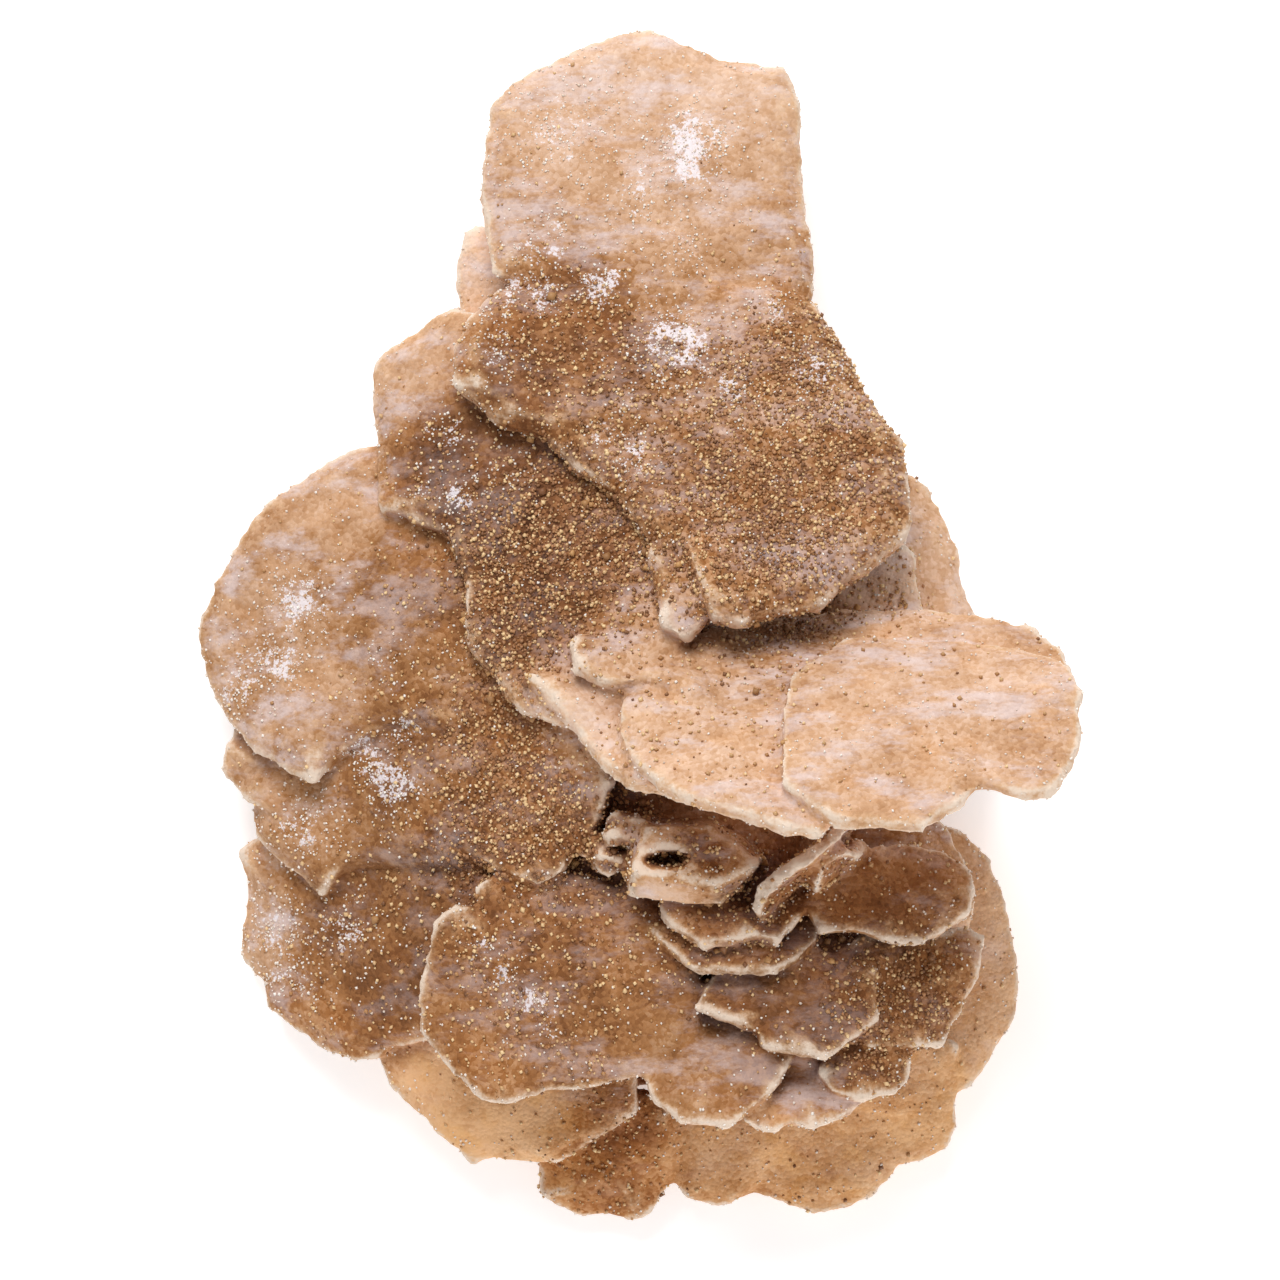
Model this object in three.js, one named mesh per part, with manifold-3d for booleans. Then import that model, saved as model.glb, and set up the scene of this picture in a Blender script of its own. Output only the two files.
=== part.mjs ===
// A gypsum sand rose lying on its back: thin round blades of sandy crystal, grown through one another.
// Millimetres, +Z up. +Y runs from the skirt of low blades to the crown, and +X to the side with the fin.
import * as THREE from 'three';
import { ConvexGeometry } from 'three/addons/geometries/ConvexGeometry.js';
import { mergeVertices } from 'three/addons/utils/BufferGeometryUtils.js';
import Module from 'manifold-3d';

// Driving dimensions of every blade
const RIM_THICK = 1.1;
const BEVEL_WIDTH = 1.6;
const BEVEL_SHARE = 0.8;
const BEVEL_REACH = 0.35;
const EDGE_STEP = 4.4;
const EDGE_NIBBLE = 0.45;
const EDGE_WAVE = 0.35;
const WAVES_PER_EDGE = 3;
const LUMP_ROUGHNESS = 0.07;
const MERGE_GAP = 1e-4;
const SEED = 7;

// The fin leans up towards the viewer, and its leaves lie one under the other along this slope
const FIN_RISE = [0.03, -1];

// Blades seen from above: hub on the blade's middle plane, climb of that plane along X and Y,
// thickness at the hub, and the edge in plan
const BLADES = [
  {
    name: 'crown', hub: [1, 33.5, 10.5], rise: [-0.03, -0.33], thick: 3.4,
    outline: [[-9.5, 26.5], [-11.5, 27.5], [-12, 33.5], [-11.5, 40], [-9.5, 42.5], [-4, 45.5],
      [0.5, 46.5], [5.5, 44.5], [11, 43.5], [12, 40.5], [12.5, 33], [13.5, 26.5], [12, 22],
      [4.5, 19.5], [-4.5, 22]],
  },
  {
    name: 'crown_ledge', hub: [-9, 25, 8], rise: [0.15, -0.3], thick: 2.6,
    outline: [[-12.5, 31.5], [-13.5, 30.5], [-14, 26.5], [-13.5, 23], [-10.5, 19], [-5.5, 19],
      [-4, 26], [-7, 30.5]],
  },
  {
    name: 'breast', hub: [3, 15, 18], rise: [0.03, -0.45], thick: 4,
    outline: [[-11, 26], [-13, 24], [-14, 22], [-14, 19], [-11, 16.5], [-7.5, 15.5], [-5, 13],
      [-2, 11], [-0.5, 8.5], [1, 6.5], [3.5, 5], [4.5, 2.5], [5.5, 1], [7.5, 0.5], [9.5, 1.5],
      [13.5, 2.5], [15, 4], [16.5, 5], [20, 7.5], [20, 10], [19.5, 14.5], [17, 18], [15.5, 21.5],
      [13.5, 25.5], [4.5, 28], [-4.5, 27.5]],
  },
  {
    name: 'breast_tongue', hub: [2.5, 3.5, 22.5], rise: [0.03, -0.35], thick: 2.6,
    outline: [[0.5, 7], [0.5, 5.5], [1, 2.5], [1.5, 0.5], [3.5, 0], [5.5, 1.5], [6, 6], [3, 9]],
  },
  {
    name: 'left_upper', hub: [-11, 12.5, 13.5], rise: [0.33, -0.3], thick: 3.2,
    outline: [[-14, 25], [-18, 22.5], [-20, 21], [-20.5, 18.5], [-20, 15.5], [-20, 11.5],
      [-19.5, 9.5], [-18, 9.5], [-16.5, 8.5], [-14.5, 7.5], [-13.5, 5.5], [-13, 3.5], [-13, -0.5],
      [-11, -3], [-9, -5.5], [-6, -6.5], [0, -6], [3.5, 0], [1.5, 9], [-4.5, 18], [-9, 23.5]],
  },
  {
    name: 'left_round', hub: [-22.5, 1, 10], rise: [0.38, -0.18], thick: 3,
    outline: [[-20.5, 15], [-23.5, 13.5], [-28, 10.5], [-30.5, 7.5], [-32.5, 4.5], [-33.5, 1.5],
      [-33.5, -1], [-32.5, -4.5], [-31.5, -6.5], [-29, -8.5], [-26.5, -10], [-24.5, -11],
      [-23.5, -10], [-23, -9], [-20.5, -7.5], [-18, -6.5], [-13.5, -7], [-7.5, -6], [-6, -0.5],
      [-9, 7.5], [-14.5, 13]],
  },
  {
    name: 'left_corner', hub: [-28, -9.5, 7.5], rise: [0.4, -0.1], thick: 2,
    outline: [[-31, -6.5], [-31.5, -8], [-32, -10], [-31, -11.5], [-29.5, -12.5], [-26, -13.5],
      [-22.5, -10.5], [-26, -7]],
  },
  {
    name: 'left_middle', hub: [-18, -11, 11.5], rise: [0.52, 0], thick: 3,
    outline: [[-29.5, -12], [-29, -15.5], [-26, -18], [-24, -19.5], [-22.5, -18], [-21, -17.5],
      [-16, -17.5], [-10.5, -17], [-9, -18], [-7, -18.5], [-5.5, -17.5], [-5, -16],
      [-3.5, -14.5], [-2.5, -12.5], [-2, -10.5], [-3.5, -6], [-12, -4], [-21, -4.5], [-27.5, -7.5]],
  },
  {
    name: 'left_lower', hub: [-21.5, -23, 7.2], rise: [0.6, 0.12], thick: 3,
    outline: [[-30.5, -16], [-30, -17.5], [-30, -20], [-30.5, -24], [-29, -26.5], [-28.5, -28],
      [-26.5, -29.5], [-24.5, -31], [-22, -32], [-20, -32], [-19, -31], [-14.5, -30],
      [-9, -25.5], [-9, -18], [-16, -13.5], [-23.5, -13.5], [-28.5, -15]],
  },
  {
    name: 'shield', hub: [-7, -26, 16], rise: [0.05, 0.05], thick: 2.6,
    outline: [[-12.5, -18], [-12.5, -19.5], [-14, -19.5], [-15.5, -21], [-16, -23.5],
      [-16.5, -25.5], [-16.5, -28], [-16.5, -29.5], [-14.5, -32], [-13, -33.5], [-12, -34.5],
      [-10.5, -35], [-7, -34], [-5, -34], [-2.5, -33.5], [0, -33], [4.5, -30.5], [5, -26],
      [3, -21.5], [-0.5, -18.5], [-5, -17], [-9.5, -16.5]],
  },
  {
    name: 'skirt_left', hub: [-11.5, -34.5, 6], rise: [0.15, 0.3], thick: 3,
    outline: [[-19.5, -30.5], [-20, -32], [-19, -34], [-16.5, -36.5], [-14.5, -38.5], [-13, -40],
      [-11, -39.5], [-8.5, -40], [-6, -40], [-3, -38], [0, -36], [0, -30.5], [-7.5, -27.5],
      [-16, -28]],
  },
  {
    name: 'skirt_foot', hub: [-2, -40, 3.5], rise: [0, 0.35], thick: 3,
    outline: [[-8, -41], [-8, -42.5], [-6, -43.5], [-4.5, -44.5], [-2, -44.5], [0, -44.5],
      [1, -44], [2, -42], [4, -39], [3, -34.5], [-3, -33.5], [-7, -36.5]],
  },
  {
    name: 'skirt_right', hub: [12, -36.5, 4], rise: [0, 0.3], thick: 3,
    outline: [[1.5, -39], [3, -42.5], [6, -43.5], [8.5, -42.5], [11, -43], [13.5, -44],
      [16, -43.5], [18.5, -42.5], [20, -40], [22, -40], [24, -38.5], [24.5, -36.5],
      [24.5, -30.5], [17, -28], [7.5, -29.5], [2.5, -33.5]],
  },
  {
    name: 'right_disc', hub: [19, -25, 5], rise: [-0.15, 0], thick: 3.2,
    outline: [[24.5, -14], [27, -16.5], [28, -19.5], [28.5, -23], [29, -26.5], [28.5, -29.5],
      [27.5, -31.5], [25.5, -34.5], [20, -36.5], [12, -33.5], [9, -26], [12, -17], [18.5, -13]],
  },
  {
    name: 'fan_left', hub: [5, -31, 16.5], rise: [0.1, -0.35], thick: 2,
    outline: [[3.5, -25.5], [2.5, -27.5], [1, -29.5], [-0.5, -31], [0, -32.5], [1, -34.5],
      [3, -36], [4.5, -36.5], [6.5, -36.5], [8.5, -35], [10, -34], [12, -30.5], [10.5, -26],
      [7, -25]],
  },
  {
    name: 'fan_bottom', hub: [12.5, -33.5, 15.5], rise: [0, -0.3], thick: 1.8,
    outline: [[7, -35], [7.5, -36.5], [9.5, -37], [11, -36.5], [13, -37], [15, -36], [17, -34.5],
      [18, -31.5], [15, -28.5], [10, -29.5], [7, -32]],
  },
  {
    name: 'fan_top', hub: [9.5, -28, 18.5], rise: [-0.05, -0.3], thick: 2,
    outline: [[4.5, -25.5], [4, -27.5], [6, -28.5], [8.5, -29.5], [9, -30.5], [12, -31],
      [14, -31.5], [15.5, -30], [18, -28.5], [18, -24.5], [13.5, -23], [7.5, -23]],
  },
  {
    name: 'fan_right', hub: [16.5, -32, 16.5], rise: [-0.15, -0.25], thick: 1.8,
    outline: [[13, -32.5], [14.5, -34], [16.5, -34.5], [19, -34], [20.5, -33], [20.5, -31.5],
      [21, -29], [18, -27], [14, -28.5]],
  },
  {
    name: 'fan_side', hub: [19.5, -26.5, 15.9], rise: [-0.3, -0.15], thick: 2.2,
    outline: [[20.5, -31], [22.5, -30.5], [24.5, -27.5], [25, -26], [26, -24], [26, -22],
      [24.5, -21.5], [21.5, -22], [16.5, -21.5], [13.5, -24], [14, -28.5], [17, -30.5]],
  },
  {
    name: 'tier_right', hub: [18.5, -19.5, 17.6], rise: [-0.2, -0.35], thick: 2.4,
    outline: [[17, -15.5], [20.5, -15.5], [23, -16], [24.5, -17], [25, -19], [24.5, -20.5],
      [22.5, -22], [21, -23], [18, -22.5], [15.5, -22], [13, -22], [12, -19.5], [13.5, -16.5]],
  },
  {
    name: 'tier_upper', hub: [7, -20.5, 19], rise: [0, -0.9], thick: 2,
    outline: [[1, -20.5], [2, -21.5], [4.5, -22.5], [7.5, -22.5], [9, -22.5], [10.5, -22.5],
      [12.5, -20.5], [13, -18], [7.5, -16.5], [2, -18]],
  },
  {
    name: 'tier_lower', hub: [7, -22, 17.5], rise: [0, -0.9], thick: 2,
    outline: [[0.5, -22], [2, -23.5], [4, -24.5], [7.5, -25], [10, -25], [12, -24],
      [13.5, -22.5], [14.5, -19], [7.5, -17.5], [1.5, -19]],
  },
  {
    name: 'fin_main', hub: [21, -6, 27.5], rise: FIN_RISE, thick: 2.2,
    outline: [[10, -9], [10.5, -11], [12, -12], [14, -13], [17.5, -13.5], [20.5, -14], [22, -13],
      [23, -12.5], [25, -11], [28, -11.5], [30, -11], [31.5, -9], [32.5, -7], [32, -5.5],
      [32.5, -4.5], [32, -2.5], [30.5, -1.5], [26.5, -0.5], [21, 0], [15, 0], [11, -3]],
  },
  {
    name: 'fin_back', hub: [17.5, -3, 22.5], rise: FIN_RISE, thick: 2.2,
    outline: [[7.5, 0.5], [10, 1.5], [14, 2], [18, 2], [22, 2], [25, 1.5], [29.5, 0.5],
      [31.5, -1], [32.5, -3], [31.5, -6], [25, -9], [13, -9], [6, -4.5]],
  },
  {
    name: 'fin_left', hub: [6, -8, 27], rise: FIN_RISE, thick: 2.4,
    outline: [[-2, -6], [-1.5, -7.5], [-0.5, -9], [1, -10.5], [3.5, -12], [6.5, -13],
      [10.5, -14], [13, -14], [14, -13], [16, -9], [15, -3.5], [9, -1.5], [1.5, -3], [-1, -4]],
  },
  {
    name: 'fin_tail', hub: [-2, -6.5, 22.7], rise: [-0.28, -1], thick: 2.4,
    outline: [[-8.5, -3], [-6.5, -5], [-5, -6.5], [-3.5, -8], [-2.5, -9.5], [-0.5, -11],
      [1, -11], [6, -11], [7.5, -6], [3, -3], [-3, -2], [-6, -2]],
  },
  {
    name: 'fin_shoulder', hub: [2, -2, 22.1], rise: [-0.17, -1], thick: 2.2,
    outline: [[-5.5, -0.5], [-5, -2], [-3, -3], [-1.5, -3.5], [0.5, -3.5], [6, -6], [12, -4.5],
      [11, 0], [5.5, 0.5], [2, 0], [-1, 0.5], [-4.5, 0]],
  },
  {
    name: 'right_shoulder', hub: [19, 6, 11], rise: [-0.3, -0.25], thick: 3,
    outline: [[18.5, 13.5], [21.5, 12], [23, 10], [23.5, 9], [24, 6.5], [24.5, 4.5], [25.5, 1.5],
      [25.5, -3], [19.5, -4.5], [9, -1], [8, 9], [14, 12.5]],
  },
  {
    name: 'right_step', hub: [18, 4, 14.2], rise: [-0.15, -0.3], thick: 2.4,
    outline: [[20, 7.5], [21, 6.5], [21, 4], [21.5, 1.5], [21, -1.5], [16.5, -2], [13.5, 1.5],
      [14.5, 6], [17.5, 7]],
  },
];

// Round blades that the others hide from above, and under the fin two thin slats standing on edge
// and two small chips
const DISCS = [
  { name: 'back_crown', hub: [1, 25, 5.5], normal: [0, -0.05, 1], radii: [11, 12], thick: 3.6 },
  { name: 'back_left', hub: [-16, 2, 4.5], normal: [-0.25, 0.08, 1], radii: [13, 12], thick: 3.4 },
  { name: 'back_lower', hub: [-13, -21, 5], normal: [-0.2, -0.1, 1], radii: [12, 10], thick: 3.4 },
  { name: 'back_right', hub: [16, -6, 7], normal: [0.28, 0.1, 1], radii: [12, 11], thick: 3.4 },
  { name: 'back_foot', hub: [7, -27, 10], normal: [0.1, 0.05, 1], radii: [11, 8], thick: 3 },
  { name: 'back_side', hub: [20, -20, 10.5], normal: [0.3, 0, 1], radii: [5.5, 8], thick: 2.8 },
  { name: 'neck_left', hub: [-10, 19, 7], normal: [-0.5, 0.2, 1], radii: [8, 8], thick: 3 },
  { name: 'neck_right', hub: [10.5, 14, 9], normal: [0.5, 0, 1], radii: [7.5, 8], thick: 3 },
  { name: 'under_middle', hub: [0, -3, 1.2], normal: [0.06, -0.05, 1], radii: [15, 13], thick: 3.4 },
  { name: 'under_neck', hub: [3, 15, 2], normal: [-0.08, 0.1, 1], radii: [12, 11], thick: 3.4 },
  { name: 'under_foot', hub: [3, -24, 1.8], normal: [0.05, -0.08, 1], radii: [14, 11], thick: 3.4 },
  {
    name: 'slat_long', hub: [12, -17, 20.5], normal: [0.68, -0.73, 0.2], along: [0.73, 0.68, 0],
    radii: [5.5, 4], thick: 1.4,
  },
  {
    name: 'slat_short', hub: [14.5, -17, 19], normal: [0.66, -0.75, 0.25], along: [0.75, 0.66, 0],
    radii: [3, 4], thick: 1.3,
  },
  { name: 'chip_left', hub: [-3, -16, 18.3], normal: [-0.5, -0.5, 0.7], radii: [2.2, 1.6], thick: 1.8 },
  { name: 'chip_back', hub: [-1, -14, 20], normal: [-0.3, 0.6, 0.7], radii: [2, 1.6], thick: 2 },
];

// Rough lumps of cemented sand that fill the middle
const LUMPS = [
  { name: 'heart', centre: [3, -10, 9.5], radii: [14.5, 18, 9], detail: 2 },
  { name: 'neck', centre: [1, 13, 8.5], radii: [10, 11, 8], detail: 2 },
  { name: 'fan_heart', centre: [13, -27, 14], radii: [8, 6, 4], detail: 2 },
];

// A stub of a broken blade under the fin, with a slot-shaped pit in its top
const STUB_CORNERS = [
  [-0.5, -17, 23], [5.5, -18, 23.5], [9, -16.5, 22.5], [5, -14, 22], [0.5, -14, 22],
  [-1, -19, 21], [6, -19.5, 21.5],
  [-1, -18, 16], [7, -19, 16], [9.5, -16, 16], [6, -13, 16], [-1, -13, 16],
];
const PIT = { centre: [2, -16.2, 23], radii: [1.9, 0.75, 4.2], detail: 2 };

// The underside is worn flat, level with the lowest blades
const SEAT_CUT = { width: 120, depth: 20 };

const wasm = await Module();
wasm.setup();
THREE.MathUtils.seededRandom(SEED);

// A seeded random number between minus one and one
function wander() {
  return 2 * THREE.MathUtils.seededRandom() - 1;
}

function solidOf(geometry) {
  geometry.deleteAttribute('normal');
  geometry.deleteAttribute('uv');
  const merged = mergeVertices(geometry, MERGE_GAP);
  const vertProperties = new Float32Array(merged.attributes.position.array);
  const triVerts = new Uint32Array(merged.index.array);
  return new wasm.Manifold(new wasm.Mesh({ numProp: 3, vertProperties, triVerts }));
}

// Corner points of a plan outline, counter-clockwise and lifted onto the blade's middle plane
function planRim({ hub, rise, outline }) {
  const plan = outline.map(([x, y]) => new THREE.Vector2(x, y));
  if (THREE.ShapeUtils.isClockWise(plan)) plan.reverse();
  return plan.map(({ x, y }) => {
    const z = hub[2] + rise[0] * (x - hub[0]) + rise[1] * (y - hub[1]);
    return new THREE.Vector3(x, y, z);
  });
}

// Corner points of a lobed ellipse round the hub of a disc
function discRim({ hub, normal, along = [1, 0, 0], radii }) {
  const CORNERS = 14;
  const LOBES = [[2, 0.06], [3, 0.05], [5, 0.04]];
  const centre = new THREE.Vector3(...hub);
  const up = new THREE.Vector3(...normal).normalize();
  const first = new THREE.Vector3(...along).projectOnPlane(up).normalize();
  const second = new THREE.Vector3().crossVectors(up, first);
  const phases = LOBES.map(() => Math.PI * wander());
  return Array.from({ length: CORNERS }, (_, i) => {
    const angle = (2 * Math.PI * i) / CORNERS;
    let swell = 1;
    LOBES.forEach(([count, share], k) => {
      swell += share * Math.cos(count * angle + phases[k]);
    });
    return centre.clone()
      .addScaledVector(first, radii[0] * swell * Math.cos(angle))
      .addScaledVector(second, radii[1] * swell * Math.sin(angle));
  });
}

// Every corner of an edge, with points of a smooth curve between those that lie far apart
function edgePoints(corners) {
  const curve = new THREE.CatmullRomCurve3(corners, true, 'centripetal');
  return corners.flatMap((corner, i) => {
    const gap = corner.distanceTo(corners[(i + 1) % corners.length]);
    const steps = Math.max(1, Math.round(gap / EDGE_STEP));
    return Array.from({ length: steps }, (_, k) => curve.getPoint((i + k / steps) / corners.length));
  });
}

// A blade is a lens with a blunt, wavy rim: rim and bevel rings above and below, closed at the hub
function bladeSolid(hub, normal, corners, thick) {
  const RING_POINTS = [0, 1, 2, 3];
  const centre = new THREE.Vector3(...hub);
  const up = new THREE.Vector3(...normal).normalize();
  const phase = Math.PI * wander();
  const rim = edgePoints(corners);
  const count = rim.length;
  const positions = [];
  rim.forEach((point, i) => {
    const outward = point.clone().sub(centre);
    const reach = outward.length();
    outward.divideScalar(reach);
    const wave = EDGE_WAVE * Math.sin((2 * Math.PI * WAVES_PER_EDGE * i) / count + phase);
    point.addScaledVector(outward, -EDGE_NIBBLE * Math.abs(wander())).addScaledVector(up, wave);
    const bevel = point.clone().addScaledVector(outward, -Math.min(BEVEL_WIDTH, BEVEL_REACH * reach));
    for (const [ringPoint, half] of [[point, RIM_THICK / 2], [bevel, (BEVEL_SHARE * thick) / 2]]) {
      for (const side of [1, -1]) {
        positions.push(...ringPoint.clone().addScaledVector(up, side * half).toArray());
      }
    }
  });
  for (const side of [1, -1]) {
    positions.push(...centre.clone().addScaledVector(up, (side * thick) / 2).toArray());
  }
  const ringStep = (i) => RING_POINTS.map((k) => RING_POINTS.length * (i % count) + k);
  const top = RING_POINTS.length * count;
  const bottom = top + 1;
  const indices = [];
  const quad = (a, b, c, d) => indices.push(a, b, c, a, c, d);
  for (let i = 0; i < count; i += 1) {
    const [rimUp, rimDown, bevelUp, bevelDown] = ringStep(i);
    const [nextUp, nextDown, nextBevelUp, nextBevelDown] = ringStep(i + 1);
    quad(rimDown, nextDown, nextUp, rimUp);
    quad(rimUp, nextUp, nextBevelUp, bevelUp);
    quad(nextDown, rimDown, bevelDown, nextBevelDown);
    indices.push(bevelUp, nextBevelUp, top, nextBevelDown, bevelDown, bottom);
  }
  const geometry = new THREE.BufferGeometry();
  geometry.setAttribute('position', new THREE.Float32BufferAttribute(positions, 3));
  geometry.setIndex(indices);
  return solidOf(geometry);
}

// A rough ellipsoid
function lumpSolid({ centre, radii, detail }) {
  const ball = new THREE.IcosahedronGeometry(1, detail);
  ball.deleteAttribute('normal');
  ball.deleteAttribute('uv');
  const geometry = mergeVertices(ball, MERGE_GAP);
  const position = geometry.attributes.position;
  for (let i = 0; i < position.count; i += 1) {
    const swell = 1 + LUMP_ROUGHNESS * wander();
    position.setXYZ(i, position.getX(i) * swell, position.getY(i) * swell, position.getZ(i) * swell);
  }
  geometry.scale(...radii);
  geometry.translate(...centre);
  return solidOf(geometry);
}

function stubSolid() {
  const corners = STUB_CORNERS.map((corner) => new THREE.Vector3(...corner));
  return solidOf(new ConvexGeometry(corners)).subtract(lumpSolid(PIT));
}

// Everything grown together, with closed hollows filled and the underside worn flat
function roseSolid() {
  const solids = [
    ...LUMPS.map(lumpSolid),
    stubSolid(),
    ...BLADES.map((blade) => {
      const normal = [-blade.rise[0], -blade.rise[1], 1];
      return bladeSolid(blade.hub, normal, planRim(blade), blade.thick);
    }),
    ...DISCS.map((disc) => bladeSolid(disc.hub, disc.normal, discRim(disc), disc.thick)),
  ];
  const grown = solids.reduce((whole, next) => whole.add(next));
  const seat = new THREE.BoxGeometry(SEAT_CUT.width, SEAT_CUT.width, SEAT_CUT.depth);
  seat.translate(0, 0, -SEAT_CUT.depth / 2);
  const pieces = grown.subtract(solidOf(seat)).decompose();
  return pieces.reduce((largest, next) => (next.volume() > largest.volume() ? next : largest));
}

function meshOf(name, solid, material) {
  const { vertProperties, triVerts } = solid.getMesh();
  const geometry = new THREE.BufferGeometry();
  geometry.setAttribute('position', new THREE.BufferAttribute(vertProperties, 3));
  geometry.setIndex(new THREE.BufferAttribute(triVerts, 1));
  geometry.computeBoundingBox();
  const { min, max } = geometry.boundingBox;
  geometry.translate(-(min.x + max.x) / 2, -(min.y + max.y) / 2, -min.z);
  geometry.computeVertexNormals();
  const mesh = new THREE.Mesh(geometry, material);
  mesh.name = name;
  return mesh;
}

const sandyGypsum = new THREE.MeshStandardMaterial({ color: 0xa5764f, roughness: 0.9, metalness: 0 });
const rose = new THREE.Group();
rose.add(meshOf('sand_rose', roseSolid(), sandyGypsum));

export default rose;
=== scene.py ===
# A gypsum sand rose lying on its back: rough sandy blades with painted shade in the hollows, pale rims that
# are partly worn and partly painted light, loose grains and white dust.
import math

import bpy
import numpy as np
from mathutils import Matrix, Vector, noise
from mathutils.bvhtree import BVHTree


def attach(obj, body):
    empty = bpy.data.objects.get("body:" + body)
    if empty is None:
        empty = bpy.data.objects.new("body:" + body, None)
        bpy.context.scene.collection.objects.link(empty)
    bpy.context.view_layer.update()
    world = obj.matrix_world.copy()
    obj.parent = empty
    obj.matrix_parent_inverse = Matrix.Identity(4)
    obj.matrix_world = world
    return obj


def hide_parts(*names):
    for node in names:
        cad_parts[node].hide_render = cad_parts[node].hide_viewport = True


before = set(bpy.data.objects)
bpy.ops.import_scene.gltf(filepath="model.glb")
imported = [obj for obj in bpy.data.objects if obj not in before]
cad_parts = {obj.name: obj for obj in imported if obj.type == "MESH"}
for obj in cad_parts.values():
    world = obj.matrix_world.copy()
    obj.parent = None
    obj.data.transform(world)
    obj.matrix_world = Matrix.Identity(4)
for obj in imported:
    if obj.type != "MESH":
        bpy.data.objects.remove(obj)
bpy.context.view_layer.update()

MM = 0.001
NODE = "sand_rose"
BODY = "root"
SEED = 11

# The skin of the rose: size of its first mesh, how many triangles it keeps, and how it is rounded
VOXEL = 0.30 * MM
SKIN_TRIANGLES = 197000
SMOOTH_ROUNDS = 1
SMOOTH_SHARE = 0.5

# Relief of the skin: size of the waves and how far they push the skin, in millimetres
RELIEF = [(9.0, 0.28), (2.6, 0.16), (0.9, 0.10)]

# Worn rims: rounds of smoothing that show them up, how far they stand out then, and their ragged waves
RIM_ROUNDS = 26
RIM_BULGE = 0.32
RIM_RELIEF = [(2.2, 0.24), (0.9, 0.16), (0.55, 0.10)]
CREASE_ANGLE = math.radians(38)

# How open each spot is to the light: rays from it, how far they reach and how far off the skin they start
OPEN_RAYS = 12
OPEN_REACH = 7.0 * MM
OPEN_START = 0.05 * MM

# What lies open to the sky, and rounds of smoothing for what the rays find
ABOVE_START = 0.1 * MM
MARK_ROUNDS = 2

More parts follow.
